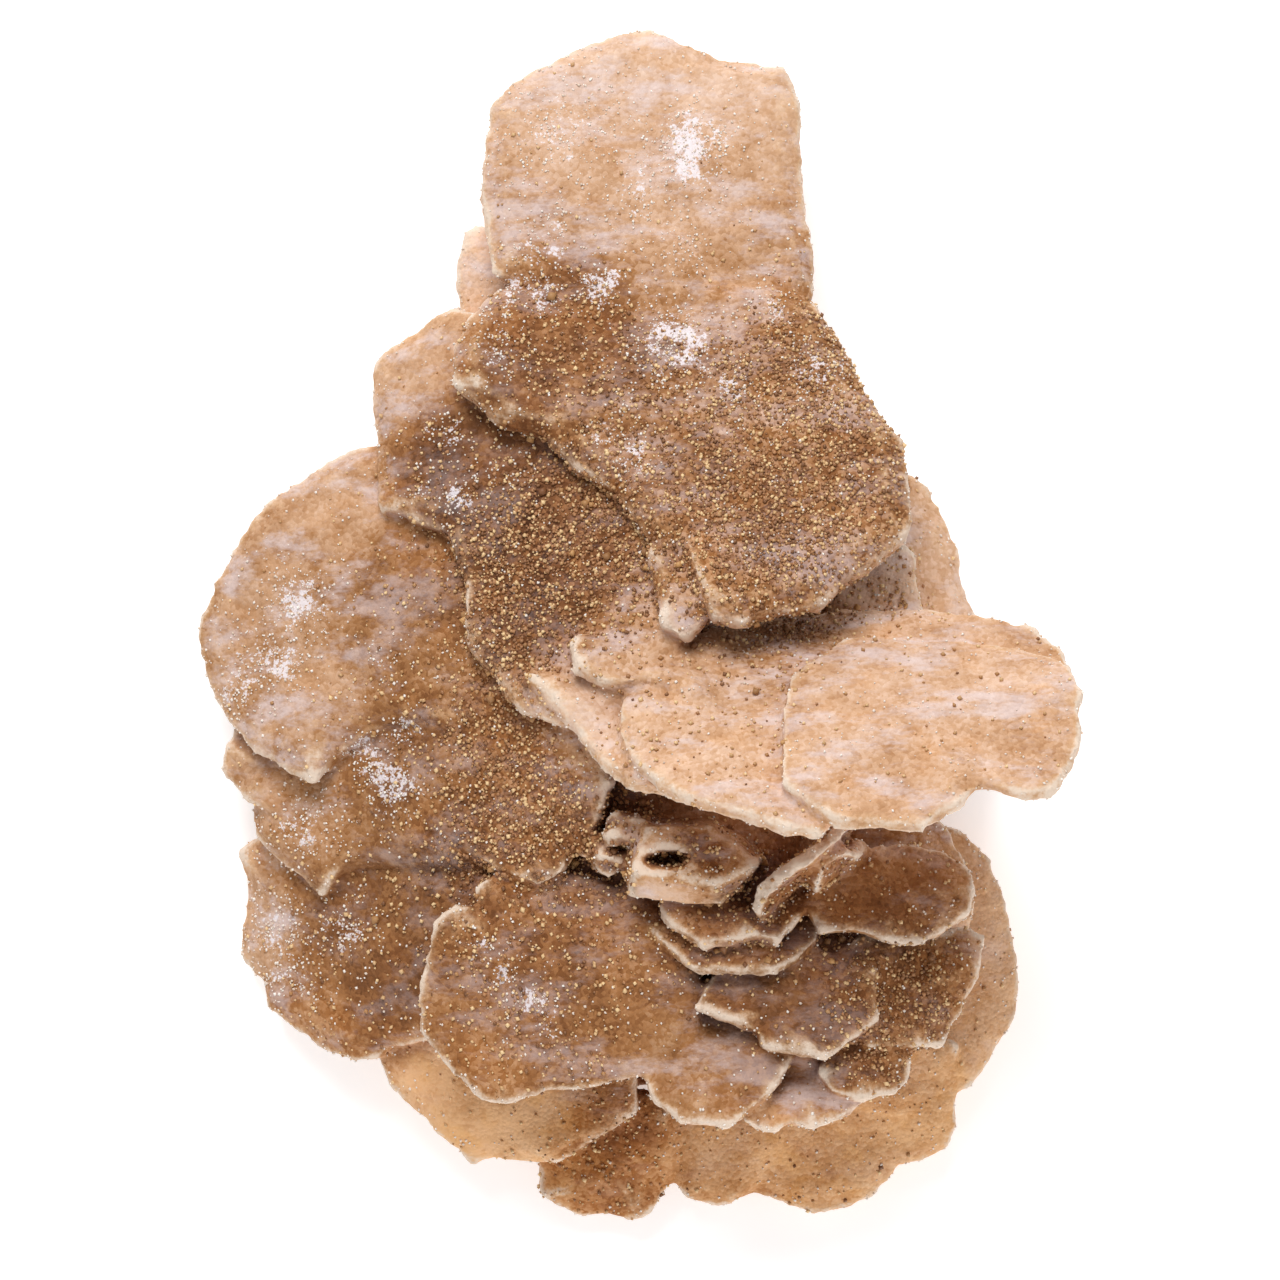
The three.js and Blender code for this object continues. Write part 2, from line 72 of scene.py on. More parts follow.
# Tone of the blades: centre and reach in millimetres, then paleness, amber tint and sandiness from 0 to 1.
# On the low skirts and discs and on the right step, paleness and amber are partly the blades' own colour
# and partly painted light: they are raised where those blades lie in shade, and on the skirts and discs for
# light shining through them.
TONES = {
    "crown_top": ((2.5, 39, 9), 9, 0.86, 0.05, 0.04),
    "crown_middle": ((2.5, 32, 11), 7, 0.72, 0.05, 0.06),
    "crown_low": ((3.5, 27, 13), 6, 0.62, 0.08, 0.15),
    "crown_ledge": ((-12.5, 27.5, 8), 4, 0.92, 0.15, 0.05),
    "breast_top": ((-3, 22, 15), 5, 0.25, 0.25, 0.60),
    "breast_middle": ((3, 16, 18), 6, 0.46, 0.10, 0.60),
    "breast_right": ((12, 14, 18), 8, 0.47, 0.20, 0.90),
    "breast_low": ((9, 7, 22), 8, 0.46, 0.25, 1.00),
    "left_upper_top": ((-16, 20.5, 9), 5, 0.77, 0.08, 0.05),
    "left_upper_middle": ((-11.5, 13.5, 13), 5, 0.22, 0.20, 0.35),
    "left_upper_low": ((-6, 4, 18), 8, 0.26, 0.30, 1.00),
    "left_round_top": ((-23, 10, 6), 6, 0.72, 0.15, 0.05),
    "left_round_middle": ((-25.5, 2, 7), 7, 0.68, 0.00, 0.05),
    "left_round_low": ((-26, -5, 8), 6, 0.72, 0.00, 0.10),
    "left_round_right": ((-17.5, 0.5, 12), 6, 0.44, 0.05, 0.25),
    "left_middle_left": ((-25, -13, 7), 5, 0.64, 0.05, 0.10),
    "left_middle": ((-17.5, -12, 12), 6, 0.42, 0.05, 0.30),
    "left_middle_right": ((-8.5, -12.5, 17), 7, 0.36, 0.30, 0.90),
    "left_lower_left": ((-28, -22.5, 3.5), 4, 0.85, 0.05, 0.10),
    "left_lower": ((-21, -22.5, 7.5), 6, 0.28, 0.10, 0.30),
    "left_lower_foot": ((-23, -30, 4), 4, 0.55, 0.50, 0.30),
    "shield_top": ((-8.5, -23, 17), 5, 0.35, 0.30, 0.50),
    "shield_middle": ((-7, -28.5, 17), 6, 0.43, 0.15, 0.45),
    "shield_low": ((-11, -33, 16), 4, 0.45, 0.50, 0.30),
    # The low skirts and discs are paler and more amber partly as painted light, for their shade and for
    # light shining through them
    "skirt_left": ((-12, -37.5, 4), 6, 1.00, 0.85, 0.15),
    "skirt_foot": ((-2, -41.5, 3), 5, 0.52, 0.90, 0.40),
    "skirt_right": ((12, -41, 4), 8, 0.76, 0.80, 0.20),
    "right_disc": ((26, -27, 5), 8, 0.95, 0.60, 0.10),
    "right_disc_low": ((22, -37, 4), 6, 0.95, 0.90, 0.15),
    "fan_left": ((4, -33, 17), 4, 0.53, 0.05, 0.10),
    "fan_top": ((10, -29, 19), 4, 0.36, 0.10, 0.20),
    "fan_side": ((19.5, -27.5, 16), 5, 0.28, 0.30, 0.90),
    "fan_bottom": ((12.5, -36.5, 16), 3, 0.66, 0.35, 0.10),
    "tiers": ((7, -22.5, 19), 4, 0.32, 0.30, 0.50),
    "tier_right": ((19, -20.5, 17.5), 5, 0.38, 0.30, 0.25),
    "slats": ((13, -17, 20), 3, 0.36, 0.60, 0.50),
    "stub_face": ((3, -20.3, 22), 1.8, 1.00, 0.20, 0.05),
    "stub_top": ((4, -17, 23), 2, 0.34, 0.40, 0.70),
    "fin_middle": ((21, -7, 28), 10, 0.78, 0.10, 0.10),
    "fin_right": ((30.5, -7, 28), 6, 0.78, 0.20, 0.08),
    "fin_low": ((18, -13, 32), 6, 0.77, 0.18, 0.08),
    "fin_left": ((5, -9, 27), 7, 0.83, 0.20, 0.25),
    "fin_tail": ((-4, -7, 22), 4, 1.00, 0.00, 0.10),
    "fin_shoulder": ((2, -2, 22), 6, 0.72, 0.15, 0.25),
    "right_shoulder": ((23.5, 6, 10), 5, 0.86, 0.20, 0.20),
    # The right step is made paler partly as painted light, where it lies in the breast's shade
    "right_step": ((19, 3.5, 15), 4, 1.00, 0.10, 0.50),
}

# A tone fades over this share of its reach, and far from all of them this one holds
TONE_SOFTNESS = 0.55
TONE_ELSEWHERE = (0.45, 0.2, 0.2)
TONE_ELSEWHERE_WEIGHT = 0.02

# White dust seen from above: place and reach in millimetres, and how thick it lies from 0 to 1
DUST = [
    ((4.3, 35.8), 2.4, 1.0), ((0.5, 32.8), 1.8, 0.7), ((-5.5, 37.3), 3.2, 0.6),
    ((-7, 29), 1.8, 0.7), ((3.5, 28.3), 1.6, 0.6), ((-9.2, 25.1), 1.2, 0.9),
    ((-6.6, 25.3), 1.2, 0.9), ((-2.5, 25.7), 1.5, 0.9), ((2.8, 21.2), 2.2, 1.0),
    ((4.6, 20.8), 1.5, 0.9), ((-10.3, 20.8), 1.7, 0.7), ((-1, 14.8), 1.3, 0.7),
    ((-0.2, 12.6), 1.5, 0.8), ((7.7, 17.6), 1.2, 0.9), ((10.7, 24.3), 1.1, 0.9),
    ((14, 19.3), 1.6, 0.9), ((-13, 9.7), 1.0, 1.0), ((-13.7, 14.4), 1.2, 0.8),
    ((-15.6, 10.5), 0.9, 0.7), ((-10, 11.8), 1.2, 0.5), ((-25, 2.1), 2.0, 0.9),
    ((-27.2, -2.4), 2.3, 0.8), ((-29.5, -4.7), 1.6, 0.8), ((-18.6, -2.4), 1.2, 0.6),
    ((-20.5, -8.8), 1.4, 0.8), ((-17.5, -7.7), 1.2, 0.8), ((-19, -10.7), 1.5, 0.9),
    ((-17.8, -12.2), 1.4, 0.9), ((-25, -15.2), 1.8, 0.8), ((-21.6, -22.7), 1.5, 0.9),
    ((-27.2, -23.4), 2.2, 0.7), ((-26, -26.4), 1.8, 0.7), ((-11.5, -24.2), 1.1, 0.8),
    ((-9.3, -26), 1.0, 0.9), ((-7.7, -28), 0.9, 0.9), ((-6.2, -30), 1.0, 0.7),
]

# The dust patches are bent by waves of this size, in millimetres, spread a little past their reach,
# and thin out where the skin is steep
DUST_WAVE = 1.5
DUST_BEND = 1.6
DUST_SPREAD = 1.35
DUST_SLOPE = 2

# Loose grains on the skin: how many, smallest and largest size in millimetres
GRAIN_KINDS = {
    "golden_grains": {"count": 20000, "size": (0.20, 0.46)},
    "brown_grains": {"count": 24000, "size": (0.20, 0.46)},
    "pale_grains": {"count": 18000, "size": (0.14, 0.30)},
    "coarse_grains": {"count": 1400, "size": (0.45, 0.95)},
}

# Small grains are commoner than large ones, each is a little stretched, and stands out by part of its size
GRAIN_SIZE_POWER = 2
GRAIN_STRETCH = (0.75, 1.25)
GRAIN_LIFT = 0.35

# Quartz and gypsum bend light about this much
GRAIN_IOR = 1.53

# Where grains lie: how bare the rims are, how hollows thin or gather them, and what draws the pale ones
RIM_BARE = 0.8
GOLDEN_HOLLOW_LOSS = 0.6
BROWN_OPEN_SHARE = 0.6
BROWN_HOLLOW_GAIN = 0.6
PALE_EVERYWHERE = 0.12
PALE_ON_RIMS = 0.4
PALE_ON_SAND = 0.3
PALE_IN_DUST = 3

# Patterns in the skin's colour: size in millimetres, detail and roughness, and the size of the sand's cells
BROAD_NOISE = (7.0, 3.0, 0.5)
STAIN_NOISE = (3.4, 3.0, 0.5)
STREAK_NOISE = (2.8, 6.0, 0.72)
PATCH_NOISE = (1.8, 5.0, 0.68)
FINE_NOISE = (0.35, 2.0, 0.7)
CELL_SIZE = 0.30

# The streaks lie slanting and are drawn out along their length
STREAK_TURN = math.radians(-25)
STREAK_STRETCH = (0.4, 1.0, 1.0)

# How far the patterns swing the sand's tone, and how much more on amber or sandy blades
BROAD_SWING = 0.45
BROAD_SWING_ON_AMBER = 0.6
PATCH_SWING = 0.60
CELL_SWING = 0.12
CELL_SWING_ON_SAND = 0.28

# Smooth steps of the skin's colour: from, to, and the share of the new colour at each end
STAIN_STEP = (0.50, 0.72, 0.0, 0.28)
HAZE_STEP = (0.46, 0.66)
HAZE_ON_PALE = (0.25, 0.70, 0.16, 0.55)
HAZE_ON_AMBER = (0.25, 0.80, 1.0, 0.15)
# Painted shade in the hollows
HOLLOW_SHADE_STEP = (0.30, 0.95, 0.0, 0.8)
# Rim colours are strongest where the rims lie open to the light
OPEN_RIM_STEP = (0.30, 0.75, 1.0, 0.25)
# Painted glow on the inner side of the rims, for light shining through them
PAINTED_GLOW_STEP = (0.15, 0.65, 0.0, 0.40)
# Pale outer band of the rims: partly wear, partly painted edge light
RIM_WEAR_AND_LIGHT_STEP = (0.42, 0.86, 0.0, 0.80)
DUST_STEP = (0.70, 0.95, 0.0, 0.80)

# How raggedly the rim bands (painted glow, and the pale band of wear and painted edge light) and the dust
# end
RIM_PATCH_SWING = 1.1
RIM_FINE_SWING = 0.5
DUST_FINE_SWING = 1.6
DUST_PATCH_SWING = 1.8

# Bump of the sand: strength and depth
CELL_BUMP = (0.5, 0.12 * MM)
FINE_BUMP = (0.35, 0.10 * MM)

# Gloss of the sand: roughness from the dark grains to the light ones, and specular level
ROUGHNESS_STEP = (0.0, 1.0, 0.90, 0.62)
SKIN_SPECULAR = 0.35

# The pale floor glows a little, so that it stays white round the rose
FLOOR_SIZE = 3.0
FLOOR_DROP = 0.2 * MM
FLOOR_GLOW = 0.4

# Soft light: a white sky, a key lamp beyond the crown and a weaker one at the foot, in metres and watts
SKY_STRENGTH = 0.38
LAMPS = {
    "key": {"place": (-0.12, 0.55, 0.62), "size": 0.4, "power": 5.8},
    "fill": {"place": (0.2, -0.62, 0.30), "size": 0.5, "power": 2.6},
}

# The camera looks straight down from above the rose
CAMERA_AIM = (0.55 * MM, -0.93 * MM, 15 * MM)
CAMERA_DISTANCE = 533 * MM
CAMERA_LENS = 200.0
CAMERA_SENSOR = 36.0


# Skin of the rose

def evaluated_mesh(obj):
    """The mesh of an object with its modifiers, as a new mesh."""
    bpy.context.view_layer.update()
    return bpy.data.meshes.new_from_object(obj.evaluated_get(bpy.context.evaluated_depsgraph_get()))


def new_object(name, mesh):
    obj = bpy.data.objects.new(name, mesh)
    bpy.context.collection.objects.link(obj)
    return obj


def bake_modifier(obj, kind, **settings):
    """Adds one modifier and makes its result the object's own mesh."""
    modifier = obj.modifiers.new(kind.lower(), kind)
    for key, value in settings.items():
        setattr(modifier, key, value)
    mesh = evaluated_mesh(obj)
    obj.modifiers.clear()
    obj.data = mesh


def points_of(mesh):
    points = np.empty(3 * len(mesh.vertices))
    mesh.vertices.foreach_get("co", points)
    return points.reshape(-1, 3)


def normals_of(mesh):
    normals = np.empty(3 * len(mesh.vertices))
    mesh.vertex_normals.foreach_get("vector", normals)
    return normals.reshape(-1, 3)


def triangles_of(mesh):
    mesh.calc_loop_triangles()
    corners = np.empty(3 * len(mesh.loop_triangles), dtype=np.int32)
    mesh.loop_triangles.foreach_get("vertices", corners)
    return corners.reshape(-1, 3)


def set_points(mesh, points):
    mesh.vertices.foreach_set("co", points.ravel())
    mesh.update()


def smoothed(values, mesh, rounds, share):
    """Values at the vertices, drawn towards the mean of their neighbours."""
    edges = np.empty(2 * len(mesh.edges), dtype=np.int32)
    mesh.edges.foreach_get("vertices", edges)
    ends = edges.reshape(-1, 2)
    count = len(values)
    degree = np.bincount(edges, minlength=count).clip(1)
    columns = values.reshape(count, -1).copy()
    for _ in range(rounds):
        for k in range(columns.shape[1]):
            column = columns[:, k]
            total = np.bincount(ends[:, 0], column[ends[:, 1]], count)
            total += np.bincount(ends[:, 1], column[ends[:, 0]], count)
            columns[:, k] = column + share * (total / degree - column)
    return columns.reshape(values.shape)


def ray_tree(mesh):
    return BVHTree.FromPolygons(points_of(mesh).tolist(), triangles_of(mesh).tolist())


def waves(points, size):
    """Smooth noise between minus one and one, with waves of that size in millimetres."""
    scale = 1 / (size * MM)
    return np.array([noise.noise(Vector(point * scale)) for point in points])


def sky_directions(count):
    """Directions spread evenly over the half sphere round +Z."""
    golden = math.pi * (3 - math.sqrt(5))
    found = []
    for k in range(count):
        height = 1 - (k + 0.5) / count
        ring = math.sqrt(1 - height * height)
        found.append((ring * math.cos(golden * k), ring * math.sin(golden * k), height))
    return np.array(found)


def openness(mesh, tree):
    """Share of the half sphere over each vertex that nothing near blocks."""
    points = points_of(mesh)
    normals = normals_of(mesh)
    sky = sky_directions(OPEN_RAYS)
    along_x = 0.8
    helper = np.where(np.abs(normals[:, :1]) < along_x, [[1.0, 0, 0]], [[0, 1.0, 0]])
    first = np.cross(helper, normals)
    first /= np.linalg.norm(first, axis=1, keepdims=True)
    second = np.cross(normals, first)
    free = np.zeros(len(points))
    for x, y, z in sky:
        directions = x * first + y * second + z * normals
        for i in range(len(points)):
            ray = Vector(directions[i])
            start = Vector(points[i]) + Vector(normals[i]) * OPEN_START
            hit = tree.ray_cast(start, ray, OPEN_REACH)
            free[i] += hit[3] is None
    return free / len(sky)


def seen_from_above(mesh, tree):
    """One at each vertex that nothing covers, and zero at the others."""
    up = Vector((0, 0, 1))
    return np.array([
        tree.ray_cast(Vector(point) + up * ABOVE_START, up)[3] is None for point in points_of(mesh)
    ], dtype=float)


def rim_values(mesh):
    """How far each vertex stands out from its rounded-off surroundings, from 0 to 1 on the rims."""
    points = points_of(mesh)
    rounded = smoothed(points, mesh, RIM_ROUNDS, SMOOTH_SHARE)
    bulge = ((points - rounded) * normals_of(mesh)).sum(axis=1)
    return np.clip(bulge / (RIM_BULGE * MM), 0, 1)


def make_skin():
    """The rose's skin: the solid a little rounded, roughened, and ragged along its rims."""
    skin = new_object("rose_skin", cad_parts[NODE].data.copy())
    skin.data.materials.clear()
    bake_modifier(skin, "REMESH", mode="VOXEL", voxel_size=VOXEL)
    mesh = skin.data
    set_points(mesh, smoothed(points_of(mesh), mesh, SMOOTH_ROUNDS, SMOOTH_SHARE))
    rim = rim_values(mesh)
    store(mesh, "rim", rim)
    points = points_of(mesh)
    push = sum(depth * waves(points, size) for size, depth in RELIEF)
    push += rim * sum(depth * waves(points, size) for size, depth in RIM_RELIEF)
    points += MM * push[:, None] * normals_of(mesh)
    points[:, 2] = points[:, 2].clip(0)
    set_points(mesh, points)
    bake_modifier(skin, "DECIMATE", ratio=min(1, SKIN_TRIANGLES / len(triangles_of(mesh))))
    return skin


# What the materials read from the skin

def tone_values(points):
    """Paleness, amber tint and sandiness at each point, blended between the nearest tones."""
    weights = np.full(len(points), TONE_ELSEWHERE_WEIGHT)
    sums = weights[:, None] * np.array(TONE_ELSEWHERE)
    for centre, reach, *values in TONES.values():
        away = np.linalg.norm(points / MM - np.array(centre), axis=1) / (TONE_SOFTNESS * reach)
        weight = np.exp(-0.5 * away**2)
        weights += weight
        sums += weight[:, None] * np.array(values)
    return sums / weights[:, None]


def dust_values(points, normals, above):
    """How thick the dust lies: ragged patches on what is seen from above."""
    bent = points[:, :2] / MM
    bent[:, 0] += DUST_BEND * waves(points, DUST_WAVE)
    bent[:, 1] += DUST_BEND * waves(points[:, ::-1], DUST_WAVE)
    total = np.zeros(len(points))
    for centre, reach, strength in DUST:
        away = np.linalg.norm(bent - np.array(centre), axis=1) / (DUST_SPREAD * reach)
        total = np.maximum(total, strength * np.exp(-away**2))
    return total * above * np.clip(DUST_SLOPE * normals[:, 2], 0, 1)


def store(mesh, name, values):
    layer = mesh.attributes.new(name, "FLOAT", "POINT")
    layer.data.foreach_set("value", values.astype(np.float32))


def stored(mesh, name):
    values = np.empty(len(mesh.vertices), dtype=np.float32)
    mesh.attributes[name].data.foreach_get("value", values)
    return values


def mark_skin(skin):
    """Stores tones, hollows and dust on the skin's vertices, and gives them back with the rims."""
    mesh = skin.data
    tree = ray_tree(mesh)
    points = points_of(mesh)
    normals = normals_of(mesh)
    tones = tone_values(points)
    open_share = smoothed(openness(mesh, tree), mesh, MARK_ROUNDS, SMOOTH_SHARE)
    above = smoothed(seen_from_above(mesh, tree), mesh, MARK_ROUNDS, SMOOTH_SHARE)
    marks = {
        "pale": tones[:, 0],
        "amber": tones[:, 1],
        "sandy": tones[:, 2],
        "hollow": 1 - open_share,
        "dust": dust_values(points, normals, above),
    }
    for name, values in marks.items():
        store(mesh, name, values)
    marks["rim"] = stored(mesh, "rim")
    return marks


# Loose grains

OCTAHEDRON_POINTS = np.array([[1, 0, 0], [-1, 0, 0], [0, 1, 0], [0, -1, 0], [0, 0, 1], [0, 0, -1]], float)
OCTAHEDRON_FACES = np.array([
    [0, 2, 4], [2, 1, 4], [1, 3, 4], [3, 0, 4], [2, 0, 5], [1, 2, 5], [3, 1, 5], [0, 3, 5],
])


def random_turns(rng, count):
    """Random rotation matrices, from random unit quaternions."""
    q = rng.normal(size=(count, 4))
    w, x, y, z = (q / np.linalg.norm(q, axis=1, keepdims=True)).T
    rows = [
        [1 - 2 * (y * y + z * z), 2 * (x * y - z * w), 2 * (x * z + y * w)],
        [2 * (x * y + z * w), 1 - 2 * (x * x + z * z), 2 * (y * z - x * w)],
        [2 * (x * z - y * w), 2 * (y * z + x * w), 1 - 2 * (x * x + y * y)],
    ]
    return np.array(rows).transpose(2, 0, 1)


def mesh_from(name, points, faces):
    mesh = bpy.data.meshes.new(name)
    mesh.vertices.add(len(points))
    mesh.vertices.foreach_set("co", points.ravel())
    mesh.loops.add(faces.size)
    mesh.loops.foreach_set("vertex_index", faces.ravel().astype(np.int32))
    mesh.polygons.add(len(faces))
    mesh.polygons.foreach_set("loop_start", np.arange(0, faces.size, 3, dtype=np.int32))
    mesh.update(calc_edges=True)
    mesh.validate()
    return mesh


def random_spots(rng, mesh, density, count):
    """Spots on a mesh, closer together where the density is high, and the way up at each."""
    corners = triangles_of(mesh)
    points = points_of(mesh)
    a, b, c = (points[corners[:, k]] for k in range(3))
    face_normals = np.cross(b - a, c - a)
    areas = np.linalg.norm(face_normals, axis=1)
    chance = areas * density[corners].mean(axis=1)
    chosen = rng.choice(len(corners), count, p=chance / chance.sum())
    u, v = rng.random((2, count))
    over = u + v > 1
    u[over], v[over] = 1 - u[over], 1 - v[over]
    spots = a[chosen] + u[:, None] * (b - a)[chosen] + v[:, None] * (c - a)[chosen]
    return spots, face_normals[chosen] / areas[chosen][:, None]


def scatter_grains(name, skin, density, count, size):
    """Small eight-faced grains half sunk in the skin, each with a tint of its own."""
    rng = np.random.default_rng(SEED + count + len(name))
    spots, up = random_spots(rng, skin.data, density, count)
    smallest, largest = size
    sizes = MM * (smallest + (largest - smallest) * rng.random(count) ** GRAIN_SIZE_POWER) / 2
    stretch = rng.uniform(*GRAIN_STRETCH, (count, 3))
    shapes = OCTAHEDRON_POINTS[None] * stretch[:, None, :] * sizes[:, None, None]
    turned = np.einsum("nij,nkj->nki", random_turns(rng, count), shapes)
    placed = turned + (spots + GRAIN_LIFT * sizes[:, None] * up)[:, None, :]
    placed[:, :, 2] = placed[:, :, 2].clip(0)
    faces = OCTAHEDRON_FACES[None] + len(OCTAHEDRON_POINTS) * np.arange(count)[:, None, None]
    grains = new_object(name, mesh_from(name, placed.reshape(-1, 3), faces.reshape(-1, 3)))
    store(grains.data, "tint", np.repeat(rng.random(count), len(OCTAHEDRON_POINTS)))
    return grains


def grain_densities(marks):
    """Where each kind of grain lies: few on the pale blades, many on the sandy ones and in the hollows."""
    rim = marks["rim"]
    hollow = marks["hollow"]
    sandy = marks["sandy"] * (1 - RIM_BARE * rim)
    pale = PALE_EVERYWHERE + PALE_ON_RIMS * rim + PALE_ON_SAND * sandy
    return {
        "golden_grains": sandy**1.5 * (1 - GOLDEN_HOLLOW_LOSS * hollow),
        "brown_grains": sandy**3 * (BROWN_OPEN_SHARE + BROWN_HOLLOW_GAIN * hollow),
        "pale_grains": pale + PALE_IN_DUST * marks["dust"],
        "coarse_grains": sandy**2 * hollow**2,
    }


# Materials

class Nodes:
    """Short calls for wiring a material's node tree."""

    def __init__(self, name):
        self.material = bpy.data.materials.new(name)
        self.material.use_nodes = True
        self.tree = self.material.node_tree
        self.shader = self.tree.nodes["Principled BSDF"]

    def link(self, source, socket):
        if isinstance(source, bpy.types.NodeSocket):
            self.tree.links.new(source, socket)
        else:
            socket.default_value = source

    def attribute(self, name):
        node = self.tree.nodes.new("ShaderNodeAttribute")
        node.attribute_name = name
        return node.outputs["Fac"]

    def place(self):
        return self.tree.nodes.new("ShaderNodeTexCoord").outputs["Object"]

    def turned(self, place, angle, stretch):
        """The place turned about Z and stretched."""
        node = self.tree.nodes.new("ShaderNodeMapping")
        self.link(place, node.inputs["Vector"])
        node.inputs["Rotation"].default_value = (0.0, 0.0, angle)
        node.inputs["Scale"].default_value = stretch
        return node.outputs["Vector"]

    def noise(self, place, size, detail, roughness):
        """Noise from 0 to 1 with waves of that size in millimetres."""
        node = self.tree.nodes.new("ShaderNodeTexNoise")
        self.link(place, node.inputs["Vector"])
        node.inputs["Scale"].default_value = 1 / (size * MM)
        node.inputs["Detail"].default_value = detail
        node.inputs["Roughness"].default_value = roughness
        return node.outputs["Fac"]

    def cells(self, place, size):
        """Random grey of cells of that size in millimetres, and the distance from their middles."""
        node = self.tree.nodes.new("ShaderNodeTexVoronoi")
        self.link(place, node.inputs["Vector"])
        node.inputs["Scale"].default_value = 1 / (size * MM)
        split = self.tree.nodes.new("ShaderNodeSeparateColor")
        self.link(node.outputs["Color"], split.inputs["Color"])
        return split.outputs["Red"], node.outputs["Distance"]

    def math(self, operation, a, b=0.0, c=0.0, clamp=False):
        node = self.tree.nodes.new("ShaderNodeMath")
        node.operation = operation
        node.use_clamp = clamp
        for value, socket in zip((a, b, c), node.inputs):
            self.link(value, socket)
        return node.outputs[0]

    def swing(self, base, pattern, strength):
        """The base raised and lowered by a pattern that runs from 0 to 1."""
        return self.math("MULTIPLY_ADD", self.math("SUBTRACT", pattern, 0.5), strength, base)

    def between(self, value, low, high, to_low=0.0, to_high=1.0):
        """Smooth step of a value from low to high."""
        node = self.tree.nodes.new("ShaderNodeMapRange")
        node.interpolation_type = "SMOOTHSTEP"
        for socket, given in zip(node.inputs, (value, low, high, to_low, to_high)):
            self.link(given, socket)
        return node.outputs[0]

    def mix(self, factor, a, b, blend="MIX"):
        node = self.tree.nodes.new("ShaderNodeMix")
        node.data_type = "RGBA"
        node.blend_type = blend
        colours = [socket for socket in node.inputs if socket.type == "RGBA"]
        self.link(factor, node.inputs["Factor"])
        self.link(a, colours[0])
        self.link(b, colours[1])
        return next(socket for socket in node.outputs if socket.type == "RGBA")

    def ramp(self, factor, stops):
        node = self.tree.nodes.new("ShaderNodeValToRGB")
        elements = node.color_ramp.elements
        while len(elements) < len(stops):
            elements.new(0.5)
        for element, (place, colour) in zip(elements, stops):
            element.position = place
            element.color = colour
        self.link(factor, node.inputs["Fac"])
        return node.outputs["Color"]

    def bump(self, height, strength, distance, normal=None):
        node = self.tree.nodes.new("ShaderNodeBump")
        node.inputs["Strength"].default_value = strength
        node.inputs["Distance"].default_value = distance
        self.link(height, node.inputs["Height"])
        if normal is not None:
            self.link(normal, node.inputs["Normal"])
        return node.outputs["Normal"]

    def finish(self, **sockets):
        for name, value in sockets.items():
            self.link(value, self.shader.inputs[name.replace("_", " ")])
        return self.material


def srgb(red, green, blue):
    """A colour given in screen values from 0 to 255, as linear light."""
    def linear(value):
        share = value / 255
        return share / 12.92 if share <= 0.04045 else ((share + 0.055) / 1.055) ** 2.4
    return (linear(red), linear(green), linear(blue), 1.0)


SAND_STOPS = [
    (0.0, srgb(76, 42, 17)),
    (0.3, srgb(129, 82, 43)),
    (0.5, srgb(162, 112, 67)),
    (0.75, srgb(202, 160, 126)),
    (1.0, srgb(229, 197, 175)),
]
# Amber: partly stain, partly painted glow of light shining through thin blades
AMBER_STAIN_AND_GLOW_TINT = srgb(255, 226, 172)
# Painted glow of light shining through the thin rims
PAINTED_GLOW_COLOUR = srgb(226, 184, 138)
# Pale outer band of the rims: partly wear, partly painted edge light
RIM_WEAR_AND_LIGHT_COLOUR = srgb(234, 216, 198)
HAZE_COLOUR = srgb(226, 212, 214)
DUST_COLOUR = srgb(240, 233, 238)
# Painted shade, multiplied into the sand where little light comes in
HOLLOW_SHADE_COLOUR = srgb(128, 78, 44)


def sandy_ground(n, place, patchy, cell_grey):
    """Sand, lighter or darker from patch to patch and from grain to grain."""
    broad = n.noise(place, *BROAD_NOISE)
    broad_swing = n.math("MULTIPLY_ADD", n.attribute("amber"), BROAD_SWING_ON_AMBER, BROAD_SWING)
    cell_swing = n.math("MULTIPLY_ADD", n.attribute("sandy"), CELL_SWING_ON_SAND, CELL_SWING)
    tone = n.swing(n.attribute("pale"), broad, broad_swing)
    tone = n.swing(tone, patchy, PATCH_SWING)
    tone = n.swing(tone, cell_grey, cell_swing)
    return n.ramp(tone, SAND_STOPS)


def with_amber_stain_and_glow(n, place, colour):
    """Amber where the crystal is stained, and amber as painted glow where it is thin and light would shine
    through it.
    """
    stain = n.between(n.noise(place, *STAIN_NOISE), *STAIN_STEP)
    share = n.math("ADD", n.attribute("amber"), stain, clamp=True)
    return n.mix(share, colour, AMBER_STAIN_AND_GLOW_TINT, "MULTIPLY")


def with_haze(n, place, colour):
    """Pale haze in slanting streaks, thickest on the pale blades and thin on the amber ones."""
    streaks = n.noise(n.turned(place, STREAK_TURN, STREAK_STRETCH), *STREAK_NOISE)
    on_pale = n.between(n.attribute("pale"), *HAZE_ON_PALE)
    on_amber = n.between(n.attribute("amber"), *HAZE_ON_AMBER)
    most = n.math("MULTIPLY", on_pale, on_amber)
    return n.mix(n.math("MULTIPLY", n.between(streaks, *HAZE_STEP), most), colour, HAZE_COLOUR)


def with_painted_hollow_shade(n, colour):
    """Painted shade: the sand darkened where little light comes in."""
    return n.mix(n.between(n.attribute("hollow"), *HOLLOW_SHADE_STEP), colour, HOLLOW_SHADE_COLOUR, "MULTIPLY")


